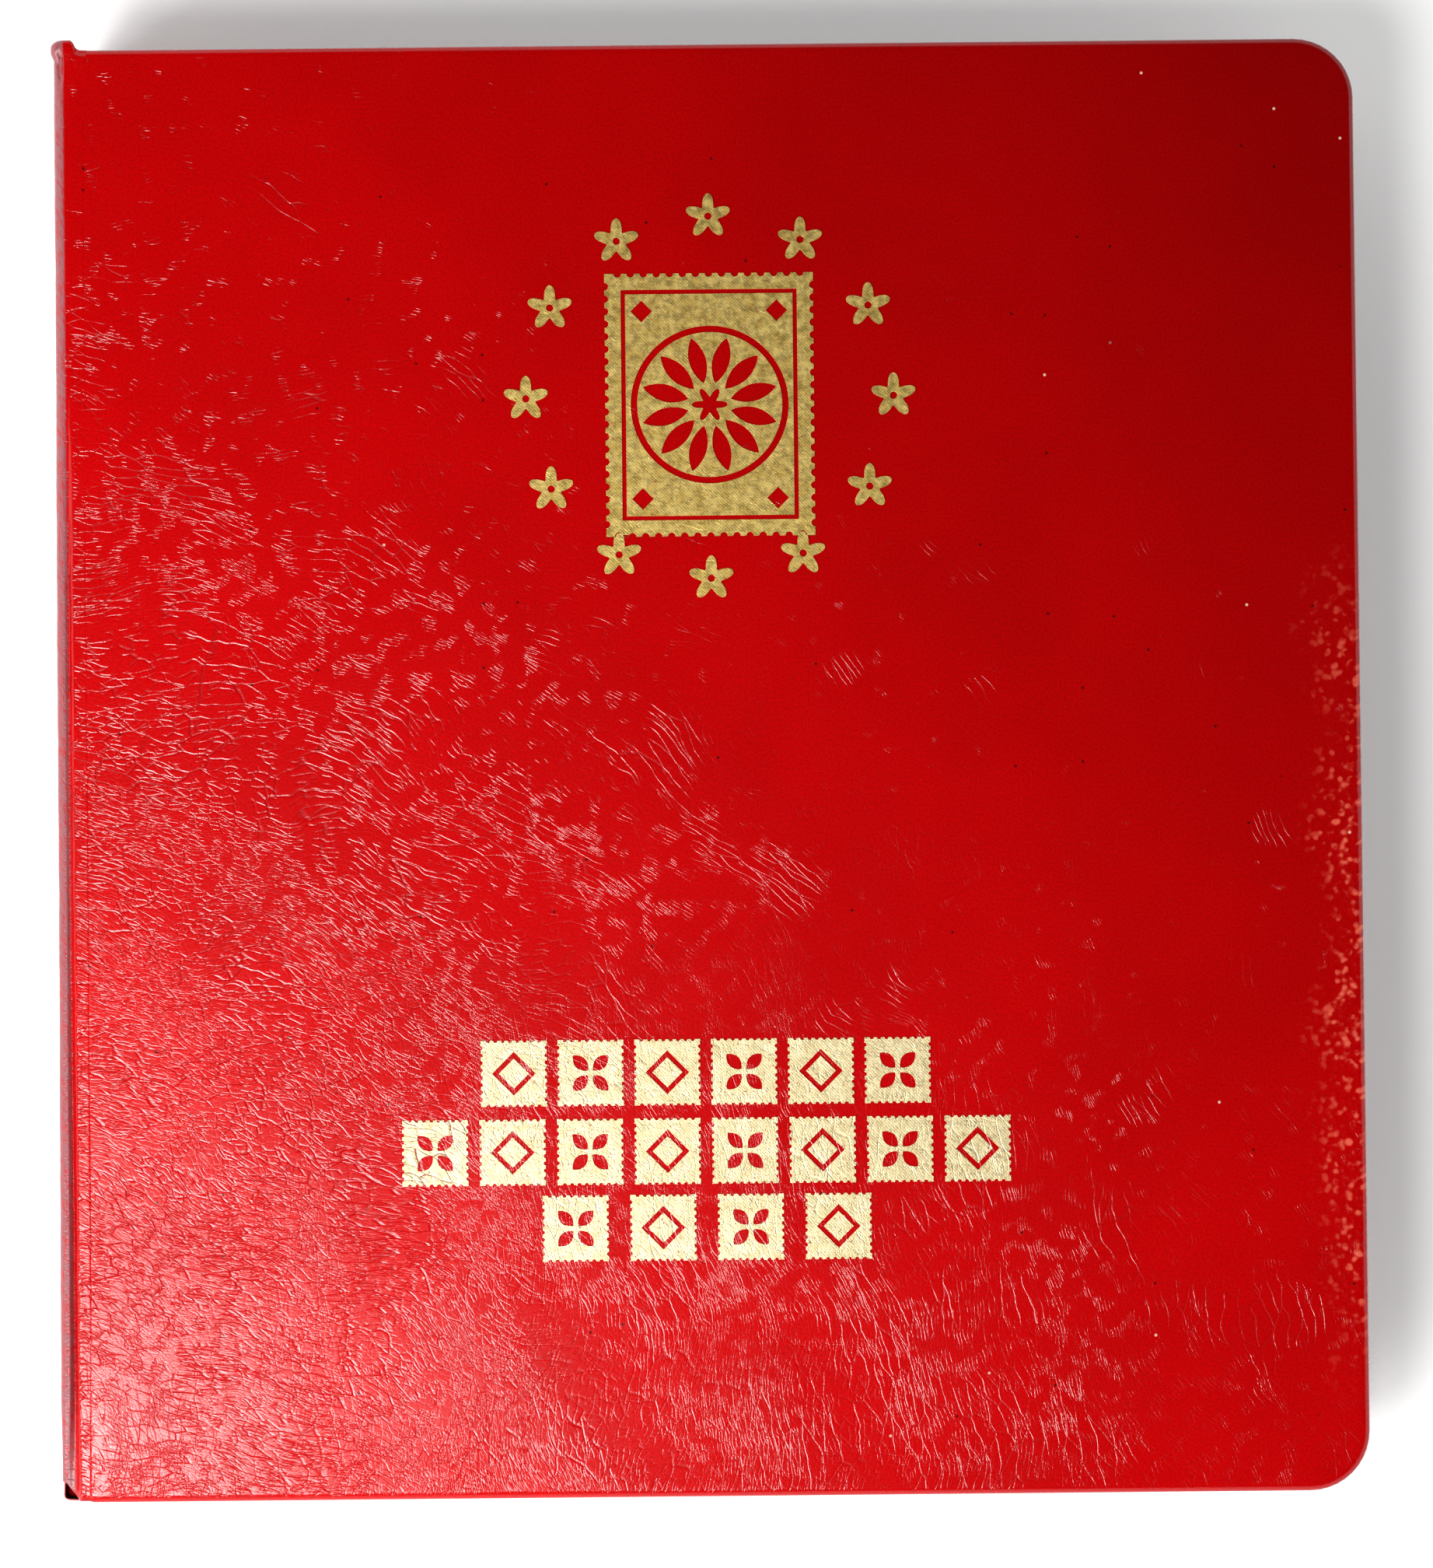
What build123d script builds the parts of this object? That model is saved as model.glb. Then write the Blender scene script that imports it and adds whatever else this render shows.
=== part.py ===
"""Three-ring album for first-day covers, closed and lying on its back cover.

Frame: origin at the middle of the underside, +X to the fore edge, +Y to the head, +Z up through
the front cover. Millimetres. The spine stands along -X. Both covers are stiff boards wrapped in
leathercloth, the spine is a shallow arc of board wrapped in the same cloth, and two leathercloth
joints let the covers swing. A ring mechanism is riveted to the inside of the spine. Nine pocket
pages hang on the rings; each holds a backing card with two covers (stamped envelopes) on each face.
"""
from build123d import *
import os
import math

os.makedirs("parts", exist_ok=True)

# ------------------------------------------------------------------ driving dimensions
THICK = 50.0                      # closed album, underside to front cover
MID = THICK / 2
BX0, BX1 = -126.45, 131.0        # cover boards: joint edge, fore edge
BY0, BY1 = -147.0, 145.0          # cover boards: foot, head
CORNER_R = 12.0                   # fore-edge corners of the covers
SKIN, CORE, TURN = 0.6, 2.2, 0.6  # leathercloth, board, turn-in and endpaper
COVER_T = SKIN + CORE + TURN
TURN_IN = 15.0                    # width of the cloth turned in round the endpapers

SPINE_R, SPINE_CX = 150.0, 19.0  # outer radius of the spine arc and its centre
SPINE_T, SPINE_BOARD = 2.5, 1.5
SPINE_HALF = 18.8                 # half height of the spine board, above and below MID
SPY0, SPY1 = -144.6, 147.0        # the spine sits a little towards the head of the boards

HINGE_X, HINGE_DZ = -128.0, 22.2  # joint axes, above and below MID
JOINT_R, JOINT_T = 2.6, 0.6       # roll of cloth in each joint

X0 = -128.1                       # seat of the ring mechanism on the spine
RING_R, WIRE_R = 16.0, 1.4        # centre line of a ring, and its wire
RING_CX = X0 + 1.5 + RING_R
RING_Y = (-108.0, 0.0, 108.0)     # 4 1/4 inch centres
PLATE_HALF, PLATE_H, PLATE_SIDE, PLATE_T = 10.0, 5.5, 2.6, 0.9
PLATE_Y = 133.0
PIVOT_X, PIVOT_DZ = X0 + 1.5, 8.6
LEVER_Y = 129.5

PAGES = 9
POCKET_PITCH, STRIP_PITCH = 4.7, 1.6
PAGE_W, PAGE_L = 226.0, 279.0
HOLE_R = 4.0
FILM, FLANGE_T = 0.3, 0.3
POCKET_RISE = 2.1
CARD_T, COVER_PIECE_T = 1.0, 1.1
ENV_X, ENV_Y = 165.0, 92.0


# ------------------------------------------------------------------ helpers
def side(y1):
    """Sketch plane seen along +Y: local x is X, local y is Z. Extruding runs towards -Y."""
    return Plane(origin=(0, y1, 0), x_dir=(1, 0, 0), z_dir=(0, -1, 0))


def prism(face, y0, y1):
    return extrude(side(y1) * face, amount=y1 - y0)


def block(x0, x1, y0, y1, z0, z1):
    return Pos((x0 + x1) / 2, (y0 + y1) / 2, (z0 + z1) / 2) * Box(x1 - x0, y1 - y0, z1 - z0)


def poly(*pts):
    return make_face(Polyline(*pts, close=True))


def flip(shape):
    """The same piece on the other side of the middle plane."""
    return mirror(shape, about=Plane.XY.offset(MID))


def write(name, *shapes):
    solids = [s for sh in shapes for s in sh.solids()]
    out = solids[0] if len(solids) == 1 else Compound(children=solids)
    export_step(out, os.path.join("parts", name + ".step"))


# ------------------------------------------------------------------ cover boards (front modelled, back mirrored)
def rounded_slab(inset, z0, z1):
    r = CORNER_R - inset
    s = block(BX0 + inset, BX1 - inset, BY0 + inset, BY1 - inset, z0, z1)
    right = s.edges().filter_by(Axis.Z).group_by(Axis.X)[-1]
    return fillet(right, max(r, 1.0))


F0 = THICK - COVER_T
slab = rounded_slab(0, F0, THICK)
top_edges = slab.faces().sort_by(Axis.Z)[-1].edges()
slab = fillet(top_edges, 1.3)
low_edges = slab.faces().sort_by(Axis.Z)[0].edges()
slab = fillet(low_edges, 0.5)
front_board = rounded_slab(SKIN, F0 + TURN, THICK - SKIN)
front_endpaper = rounded_slab(TURN_IN, F0, F0 + TURN)
front_skin = slab - front_board - front_endpaper

write("front_board", front_board)
write("front_endpaper", front_endpaper)
write("front_cover_skin", front_skin)
write("back_board", flip(front_board))
write("back_endpaper", flip(front_endpaper))
write("back_cover_skin", flip(front_skin))

# ------------------------------------------------------------------ foil blocked on the front cover
FOIL = 0.08
EMBLEM = (0.7, 73.6)             # centre of the emblem on the cover
foil = []
for k in range(12):               # oval of lozenges
    a = math.radians(90 + 30 * k)
    c = Pos(EMBLEM[0] + 37.0 * math.cos(a), EMBLEM[1] + 36.5 * math.sin(a), THICK)
    foil.append(c * extrude(poly((-3.6, 0), (0, -3.6), (3.6, 0), (0, 3.6)), amount=FOIL))
frame_f = Rectangle(42, 53) - Rectangle(36.5, 47.5)
foil.append(Pos(EMBLEM[0], EMBLEM[1] - 1.5, THICK) * extrude(frame_f, amount=FOIL))
foil.append(Pos(EMBLEM[0], EMBLEM[1] - 1.5, THICK) * extrude(Circle(12.5), amount=FOIL))
write("foil_emblem", *foil)
ROW_X, PANEL_W, PANEL_H = -1.4, 13.2, 13.2
ROWS = ((6, -62.0, 90.2), (8, -77.8, 122.0), (4, -93.1, 65.9))   # blank panels in each row, row centre, row width
bands = []
for n, y, width in ROWS:
    for k in range(n):
        x = ROW_X + (k - (n - 1) / 2) * (width - PANEL_W) / (n - 1)
        bands.append(Pos(x, y, THICK) * extrude(Rectangle(PANEL_W, PANEL_H), amount=FOIL))
write("foil_panels", *bands)


# ------------------------------------------------------------------ spine
def arc_shell(r_out, r_in, half, y0, y1):
    ring = Pos(SPINE_CX, MID) * Circle(r_out) - Pos(SPINE_CX, MID) * Circle(r_in)
    win = Pos(-120, MID) * Rectangle(40, 2 * half)
    return prism(ring & win, y0, y1)


full = arc_shell(SPINE_R, SPINE_R - SPINE_T, SPINE_HALF, SPY0, SPY1)
ends = full.faces().sort_by(Axis.Y)
curved = [e for f in (ends[0], ends[-1]) for e in f.edges() if e.length > 20]
full = fillet(curved, 1.2)
core = arc_shell(SPINE_R - SKIN, SPINE_R - SKIN - SPINE_BOARD, SPINE_HALF - SKIN, SPY0 + SKIN, SPY1 - SKIN)
liner = arc_shell(SPINE_R - SKIN - SPINE_BOARD, SPINE_R - SPINE_T, SPINE_HALF, SPY0 + 10, SPY1 - 10)
spine_skin = full - core - liner

# rivets through the mechanism, the liner and the board, closed inside the board
RIVET_Y = (-84.0, 84.0)


def rod_x(x0, x1, y, z, r):
    return Pos((x0 + x1) / 2, y, z) * Rot(0, 90, 0) * Cylinder(r, x1 - x0)


rivets = []
for y in RIVET_Y:
    head = Pos(X0 + PLATE_H - 0.05, y, MID) * Rot(0, 90, 0) * Cone(3.6, 2.2, 1.4, align=(Align.CENTER, Align.CENTER, Align.MIN))
    rivets.append(rod_x(-129.8, X0 + PLATE_H + 0.5, y, MID, 2.0) + head + rod_x(-130.2, -129.6, y, MID, 3.6))
rivet_all = rivets[0] + rivets[1]
write("spine_skin", spine_skin)
write("spine_board", core - rivet_all)
write("spine_liner", liner - rivet_all)


# ------------------------------------------------------------------ cloth joints
def joint_strip(y0, y1):
    z = MID + HINGE_DZ
    ring = Pos(HINGE_X, z) * Circle(JOINT_R) - Pos(HINGE_X, z) * Circle(JOINT_R - JOINT_T)
    keep = poly((HINGE_X - 3, z), (HINGE_X, z), (HINGE_X + 3, z + 3 * math.tan(math.radians(20))), (HINGE_X + 3, z + 4), (HINGE_X - 3, z + 4))
    xs = SPINE_CX - math.sqrt(SPINE_R ** 2 - SPINE_HALF ** 2)
    leg = poly((xs, MID + SPINE_HALF), (xs + JOINT_T, MID + SPINE_HALF), (HINGE_X - JOINT_R + JOINT_T, z), (HINGE_X - JOINT_R, z))
    face = (ring & keep) + leg
    return prism(face, y0, y1) - block(BX0, BX0 + 5, y0 - 1, y1 + 1, 44, 51)


strip = joint_strip(SPY0, SPY1 - 1.2)
write("front_joint_cloth", strip)
write("back_joint_cloth", flip(strip))

# ------------------------------------------------------------------ ring mechanism: cover plate
arch_r = (PLATE_HALF ** 2 + (PLATE_H - PLATE_SIDE) ** 2) / (2 * (PLATE_H - PLATE_SIDE))


def channel(inset):
    h, s, w = PLATE_H - inset, PLATE_SIDE, PLATE_HALF - inset
    r = arch_r - inset
    body = Pos(X0 + s / 2, MID) * Rectangle(s, 2 * w)
    cap = (Pos(X0 + PLATE_H - arch_r, MID) * Circle(r)) & (Pos(X0 + s + 5, MID) * Rectangle(10, 2 * w))
    return body + cap


plate = prism(channel(0), -PLATE_Y, PLATE_Y) - prism(channel(PLATE_T), -PLATE_Y - 1, PLATE_Y + 1)
for sgn in (-1, 1):
    plate += block(X0, X0 + 0.7, -125, 125, MID + sgn * 8.5 - 0.65, MID + sgn * 8.5 + 0.65)
    for y in RING_Y:                                   # slots for the ring wires
        plate -= block(X0 + 2.2, X0 + 8, y - 2.2, y + 2.2, min(MID + sgn * 3.0, MID + sgn * 11), max(MID + sgn * 3.0, MID + sgn * 11))
    a, b = sorted((sgn * 124.5, sgn * 134.5))          # open end for the lever
    plate -= block(X0 + 2.2, X0 + 8, a, b, MID - 5.6, MID + 5.6)
plate -= rivet_all
pin_hole = [Pos(PIVOT_X, s * LEVER_Y, MID) * Cylinder(1.06, 24) for s in (-1, 1)]
for h in pin_hole:
    plate -= h
write("ring_cover_plate", plate)
write("ring_rivets", *rivets)


# ------------------------------------------------------------------ hinged plates and ring halves
def half_ring(y):
    prof = Plane(origin=(RING_CX + RING_R, y, MID), x_dir=(1, 0, 0), z_dir=(0, 0, 1)) * Circle(WIRE_R)
    prof = prof.rotate(Axis((RING_CX, 0, MID), (0, -1, 0)), 0.3)
    return revolve(prof, axis=Axis((RING_CX, 0, MID), (0, -1, 0)), revolution_arc=162.7)


ring_f = [half_ring(y) for y in RING_Y]
hp = block(X0 + 1.0, X0 + 2.0, -126, 126, MID + 0.2, MID + 8.9)
for y in RIVET_Y:
    hp -= block(X0, X0 + 4, y - 3.2, y + 3.2, MID - 1, MID + 3.4)
for w in ring_f:
    hp -= w
write("ring_halves_front", *ring_f)
write("hinged_plate_front", hp)
write("ring_halves_back", *[flip(w) for w in ring_f])
write("hinged_plate_back", flip(hp))


# ------------------------------------------------------------------ opening levers
def lever():
    y = LEVER_Y
    tab = block(X0 + 0.1, X0 + 12.0, y - 0.8, y + 0.8, MID - 5, MID + 5)
    corners = tab.edges().filter_by(Axis.Y).group_by(Axis.X)[-1]
    tab = fillet(corners, 2.4)
    pad = Pos(X0 + 12.0, y, MID) * Cylinder(1.3, 6.4)
    tongue = block(X0 + 0.1, X0 + 0.6, y - 4.7, y, MID - 1.5, MID + 1.5)
    pin = Pos(PIVOT_X, y, MID) * Cylinder(1.0, 19.6)
    return tab + pad + tongue + pin


lv = lever()
write("lever_head", lv)
write("lever_foot", mirror(lv, about=Plane.XZ))


# ------------------------------------------------------------------ pages
def film(cx, z, w, up):
    """One face of a pocket: a flat welded border and a raised middle, of even thickness."""
    border, slope = 3.0, 7.0
    bw, bl = w - 2 * border, PAGE_L - 2 * border
    ang = math.degrees(math.atan2(slope, POCKET_RISE - FLANGE_T))

    def hump(base, rise):
        return Pos(cx, 0, base) * extrude(Rectangle(bw, bl), amount=rise, taper=ang)

    rise = POCKET_RISE - FLANGE_T
    flange = Pos(cx, 0, z + FLANGE_T / 2) * Box(w, PAGE_L, FLANGE_T)
    s = flange + hump(z + FLANGE_T, rise) - hump(z, rise)
    return s if up else mirror(s, about=Plane.XY.offset(z))


for i in range(1, PAGES + 1):
    k = i - (PAGES + 1) / 2
    zp, zs = MID + k * POCKET_PITCH, MID + k * STRIP_PITCH
    dz = abs(zs - MID)
    th = math.asin(dz / RING_R)
    half_wire = WIRE_R / math.cos(th) + 0.3 * math.tan(th)
    xh = RING_CX + RING_R * math.cos(th) + HOLE_R - 0.3 - half_wire
    xa = xh - 8.0
    xs1, xs2 = xh + 6.5, xh + 24.5
    xp = xs2 + 4.0
    xe = xa + PAGE_W
    t = FLANGE_T
    prof = poly((xa, zs - t), (xs1, zs - t), (xs2, zp - t), (xp, zp - t), (xp, zp + t), (xs2, zp + t), (xs1, zs + t), (xa, zs + t))
    strip_p = prism(prof, -PAGE_L / 2, PAGE_L / 2)
    for y in RING_Y:
        strip_p -= Pos(xh, y, zs) * Cylinder(HOLE_R, 4)
    cx, w = (xp + xe) / 2, xe - xp
    write(f"page_{i}_strip", strip_p)
    write(f"page_{i}_pocket", film(cx, zp, w, True), film(cx, zp, w, False))
    write(f"page_{i}_card", Pos(cx, 0, zp) * Box(w - 12.4, PAGE_L - 12.4, CARD_T))
    env = []
    for sz in (-1, 1):
        for y in (-63.0, 63.0):
            env.append(Pos(cx, y, zp + sz * (CARD_T + COVER_PIECE_T) / 2) * Box(ENV_X, ENV_Y, COVER_PIECE_T))
    write(f"page_{i}_covers", *env)
    print(i, "hole x", round(xh, 2), "strip", round(xa, 2), "pocket", round(xp, 2), round(xe, 2), "z", round(zp, 2))
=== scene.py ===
import bpy
import math
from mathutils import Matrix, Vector, noise


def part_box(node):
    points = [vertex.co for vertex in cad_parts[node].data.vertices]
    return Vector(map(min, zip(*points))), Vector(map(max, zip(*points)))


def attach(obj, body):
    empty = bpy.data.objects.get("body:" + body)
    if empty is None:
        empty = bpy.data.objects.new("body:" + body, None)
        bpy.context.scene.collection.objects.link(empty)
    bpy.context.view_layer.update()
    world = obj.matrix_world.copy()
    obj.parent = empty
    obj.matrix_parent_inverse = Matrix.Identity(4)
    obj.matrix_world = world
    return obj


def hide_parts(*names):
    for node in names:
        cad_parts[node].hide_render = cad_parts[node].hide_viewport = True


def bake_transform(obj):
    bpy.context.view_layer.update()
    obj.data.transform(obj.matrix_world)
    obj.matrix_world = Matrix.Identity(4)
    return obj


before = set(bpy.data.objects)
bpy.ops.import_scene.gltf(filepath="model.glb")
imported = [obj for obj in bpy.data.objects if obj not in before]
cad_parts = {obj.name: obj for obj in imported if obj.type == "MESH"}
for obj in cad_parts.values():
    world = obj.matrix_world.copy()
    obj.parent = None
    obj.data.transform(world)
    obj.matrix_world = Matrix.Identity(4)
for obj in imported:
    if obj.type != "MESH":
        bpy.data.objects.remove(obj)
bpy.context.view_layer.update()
MM = 0.001


# ------------------------------------------------------------------ node networks
class Net:
    def __init__(self, name):
        self.mat = bpy.data.materials.new(name)
        self.mat.use_nodes = True
        self.nt = self.mat.node_tree
        self.nt.nodes.clear()
        self.out = self.node("ShaderNodeOutputMaterial")
        self.bsdf = self.node("ShaderNodeBsdfPrincipled")
        self.link(self.bsdf.outputs[0], self.out.inputs["Surface"])

    def node(self, kind, **props):
        n = self.nt.nodes.new(kind)
        for k, v in props.items():
            setattr(n, k, v)
        return n

    def link(self, a, b):
        self.nt.links.new(a, b)

    def put(self, sock, v):
        if hasattr(v, "is_output"):
            self.link(v, sock)
        elif v is not None:
            sock.default_value = v

    def math(self, op, a, b=None, c=None, clamp=False):
        n = self.node("ShaderNodeMath", operation=op, use_clamp=clamp)
        for i, v in enumerate((a, b, c)):
            self.put(n.inputs[i], v)
        return n.outputs[0]

    def vec(self, op, a, b=None, scale=None):
        n = self.node("ShaderNodeVectorMath", operation=op)
        self.put(n.inputs[0], a)
        if b is not None:
            self.put(n.inputs[1], b)
        if scale is not None:
            self.put(n.inputs["Scale"], scale)
        return n.outputs["Value"] if op in ("DOT_PRODUCT", "LENGTH", "DISTANCE") else n.outputs[0]

    def coords(self):
        return self.node("ShaderNodeTexCoord").outputs["Object"]

    def split(self, v):
        n = self.node("ShaderNodeSeparateXYZ")
        self.link(v, n.inputs[0])
        return n.outputs

    def join(self, x, y, z=0.0):
        n = self.node("ShaderNodeCombineXYZ")
        for i, v in enumerate((x, y, z)):
            self.put(n.inputs[i], v)
        return n.outputs[0]

    def noise(self, v, scale, detail=2.0, rough=0.5, dims="3D", colour=False):
        n = self.node("ShaderNodeTexNoise", noise_dimensions=dims)
        self.link(v, n.inputs["Vector"])
        n.inputs["Scale"].default_value = scale
        n.inputs["Detail"].default_value = detail
        n.inputs["Roughness"].default_value = rough
        return n.outputs["Color"] if colour else n.outputs["Fac"]

    def voronoi(self, v, scale, feature="DISTANCE_TO_EDGE", dims="2D", rand=1.0, out="Distance"):
        n = self.node("ShaderNodeTexVoronoi", feature=feature, voronoi_dimensions=dims)
        self.link(v, n.inputs["Vector"])
        n.inputs["Scale"].default_value = scale
        n.inputs["Randomness"].default_value = rand
        return n.outputs[out]

    def span(self, v, lo, hi, a=0.0, b=1.0, smooth=True):
        n = self.node("ShaderNodeMapRange", interpolation_type="SMOOTHSTEP" if smooth else "LINEAR")
        self.put(n.inputs["Value"], v)
        for k, x in (("From Min", lo), ("From Max", hi), ("To Min", a), ("To Max", b)):
            n.inputs[k].default_value = x
        return n.outputs[0]

    def mix(self, fac, a, b, blend="MIX"):
        n = self.node("ShaderNodeMix", data_type="RGBA", blend_type=blend)
        self.put(n.inputs[0], fac)
        self.put(n.inputs[6], a)
        self.put(n.inputs[7], b)
        return n.outputs[2]

    def bump(self, height, distance, strength=1.0, normal=None):
        n = self.node("ShaderNodeBump")
        n.inputs["Strength"].default_value = strength
        n.inputs["Distance"].default_value = distance
        self.link(height, n.inputs["Height"])
        if normal is not None:
            self.link(normal, n.inputs["Normal"])
        return n.outputs[0]

    def set(self, **values):
        for k, v in values.items():
            self.put(self.bsdf.inputs[k.replace("_", " ")], v)


def flat_coords(n, way):
    """Two coordinates that lie in the surface, so that creases stay crisp on it and don't streak round an edge."""
    x, y, z = n.split(n.coords())
    if way == "spine":
        return n.join(n.math("MULTIPLY_ADD", x, 0.35, z), y)
    return n.join(n.math("MULTIPLY_ADD", z, 0.9, x), n.math("MULTIPLY_ADD", z, 0.7, y))


def crush(n, p, way):
    """Crushed grain. Returns the height in millimetres, the mask of the creases and the mask of the deepest ones."""
    x, y, _ = n.split(p)
    slow = n.vec("SUBTRACT", n.noise(p, 21.0, 1.0, colour=True), (0.5, 0.5, 0.5))
    fast = n.vec("SUBTRACT", n.noise(p, 210.0, 1.0, colour=True), (0.5, 0.5, 0.5))
    w = n.vec("ADD", p, n.vec("SCALE", slow, scale=0.034))
    w = n.vec("ADD", w, n.vec("SCALE", fast, scale=0.0016))
    wx, wy, _ = n.split(w)
    # one family flows from the spine and bends towards the foot, the other fans out below the head
    from_spine = n.math("ADD", wx, 0.13)
    bend = n.math("MULTIPLY", n.math("MULTIPLY", from_spine, from_spine), 2.7)
    flow_v = n.math("ADD", n.math("SUBTRACT", wy, n.math("MULTIPLY", from_spine, 0.20)), bend)
    fan_u = n.math("DIVIDE", n.math("MULTIPLY", wx, 0.42), n.math("SUBTRACT", 0.30, wy))
    flow = n.join(wx, n.math("MULTIPLY", flow_v, 3.3))
    fan = n.join(n.math("MULTIPLY", fan_u, 3.3), wy)
    lean = n.math("ADD", n.math("MULTIPLY", x, 5.0), n.math("MULTIPLY", y, -5.5))
    lean = n.math("ADD", lean, n.math("MULTIPLY", n.noise(p, 17.0, 2.0), 1.5))
    side = n.span(lean, 0.75, 1.45) if way == "cover" else n.span(lean, 50.0, 60.0)
    level = n.math("SUBTRACT", 1.0, side)
    flow_s = n.math("MULTIPLY", n.span(n.voronoi(flow, 320.0), 0.0, 0.15, 1.0, 0.0, smooth=False), level)
    fan_s = n.math("MULTIPLY", n.span(n.voronoi(fan, 330.0), 0.0, 0.14, 1.0, 0.0, smooth=False), side)
    flow_b = n.math("MULTIPLY", n.span(n.voronoi(n.vec("ADD", flow, (0.37, 0.11, 0.0)), 122.0), 0.0, 0.060, 1.0, 0.0, smooth=False), level)
    fan_b = n.math("MULTIPLY", n.span(n.voronoi(n.vec("ADD", fan, (0.53, 0.29, 0.0)), 116.0), 0.0, 0.060, 1.0, 0.0, smooth=False), side)
    cells = n.span(n.voronoi(w, 370.0), 0.0, 0.085, 1.0, 0.0, smooth=False)
    # fine grain, drawn out level near the spine and upright towards the fore edge
    fine_level = n.span(n.voronoi(n.vec("MULTIPLY", w, (0.62, 1.25, 1.0)), 900.0), 0.0, 0.13, 1.0, 0.0, smooth=False)
    fine_up = n.span(n.voronoi(n.vec("MULTIPLY", w, (1.25, 0.70, 1.0)), 900.0), 0.0, 0.13, 1.0, 0.0, smooth=False)
    fine = n.math("ADD", n.math("MULTIPLY", fine_level, level), n.math("MULTIPLY", fine_up, side))
    foot = n.span(n.math("ADD", n.math("MULTIPLY", y, -1.0), n.math("MULTIPLY", x, -0.45)), 0.085, 0.175)
    busy = n.span(n.math("ADD", n.math("MULTIPLY", x, -0.9), n.math("MULTIPLY", y, -1.1)), -0.20, 0.07, 0.10, 1.0)
    busy = n.math("MULTIPLY", busy, n.span(n.noise(p, 26.0, 2.0), 0.30, 0.62, 0.93, 1.03))
    # where the grain is calm the creases are fewer and shorter, not shallower
    fewer = n.math("MULTIPLY_ADD", busy, 0.26, -0.26)
    dash = n.span(n.math("ADD", n.noise(p, 260.0, 1.5), fewer), 0.38, 0.54)
    dash2 = n.span(n.math("ADD", n.noise(n.vec("ADD", p, (0.7, 0.3, 0.0)), 52.0, 2.0), fewer), 0.40, 0.52)
    calm_x = n.span(x, -0.035, 0.055, 1.0, 0.42) if way == "cover" else None
    short = n.math("MULTIPLY", n.math("ADD", flow_s, fan_s), dash)
    deep = n.math("MULTIPLY", n.math("ADD", flow_b, fan_b), dash2)
    if calm_x is not None:
        short = n.math("MULTIPLY", short, calm_x)
        deep = n.math("MULTIPLY", deep, n.math("MULTIPLY_ADD", calm_x, 0.8, 0.2))
    cells = n.math("MULTIPLY", n.math("MULTIPLY", cells, n.math("MULTIPLY_ADD", foot, 0.70, 0.34)), n.math("MULTIPLY_ADD", dash, 0.7, 0.3))
    fine = n.math("MULTIPLY", fine, n.math("MULTIPLY_ADD", busy, 0.80, 0.20))
    grain = n.noise(p, 2400.0, 2.0, 0.5)
    swell = n.noise(w, 420.0, 1.0)
    h = n.math("MULTIPLY", short, -0.032)
    h = n.math("MULTIPLY_ADD", deep, -0.043, h)
    h = n.math("MULTIPLY_ADD", cells, -0.026, h)
    h = n.math("MULTIPLY_ADD", fine, -0.0055, h)
    h = n.math("MULTIPLY_ADD", grain, n.math("MULTIPLY_ADD", busy, 0.003, 0.001), h)
    h = n.math("MULTIPLY_ADD", n.math("MULTIPLY", swell, busy), 0.006, h)
    crease = n.math("MAXIMUM", deep, n.math("MAXIMUM", n.math("MULTIPLY", short, 0.8), n.math("MULTIPLY", cells, 0.7)))
    return h, crease, deep


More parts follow.
